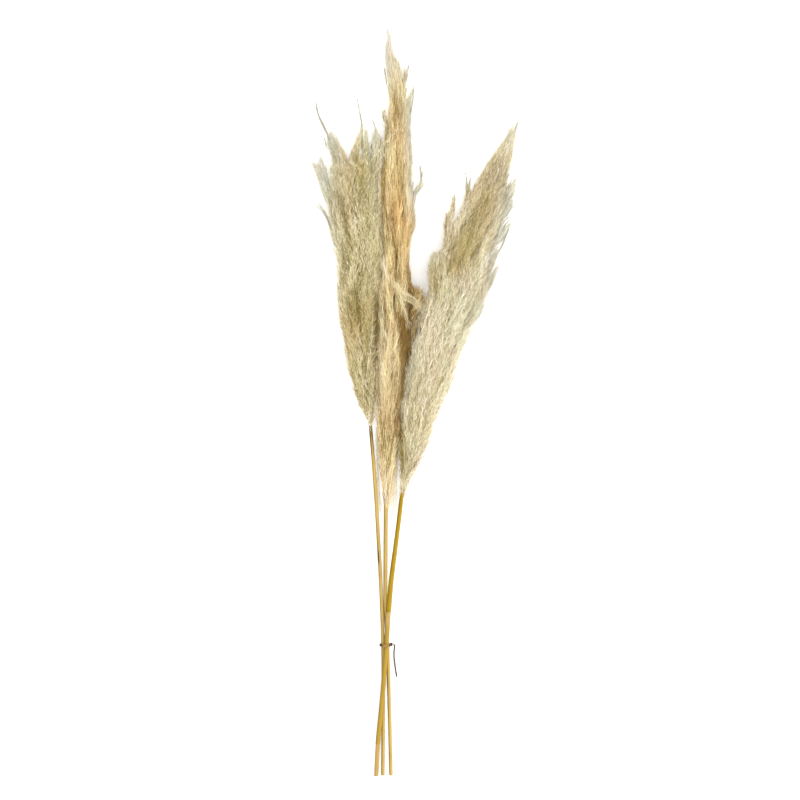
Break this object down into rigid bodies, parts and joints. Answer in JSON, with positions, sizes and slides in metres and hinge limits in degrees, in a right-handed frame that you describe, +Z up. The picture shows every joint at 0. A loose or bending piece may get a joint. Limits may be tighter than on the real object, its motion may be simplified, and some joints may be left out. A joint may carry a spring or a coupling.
{
  "type": "bundle of pampas grass",
  "caption": "Dried pampas grass lying in a loose bunch: feathery cream, khaki and golden plumes on thin straw stems, tied with twine.",
  "frame": {"origin": "on the surface that the bunch lies on, under the middle of its footprint", "axes": "+Y along the stems from the cut ends to the plumes' tips, +Z up from the surface, +X to the side that the right plume leans to"},
  "size_m": [0.2764, 1, 0.0599],
  "materials": {
    "khaki_plume": "matte dry fibre",
    "golden_plume": "matte dry fibre",
    "cream_plume": "matte dry fibre",
    "straw_stem": "satin dry straw",
    "golden_sheath": "satin dry leaf sheath",
    "jute_twine": "matte twisted fibre"
  },
  "bodies": {
    "root": {"plume_left": "khaki_plume", "plume_middle": "golden_plume", "plume_right": "cream_plume", "stem_left": "straw_stem", "stem_middle": "straw_stem", "stem_right": "golden_sheath", "tie": "jute_twine", "tie_tail": "jute_twine"}
  },
  "joints": []
}
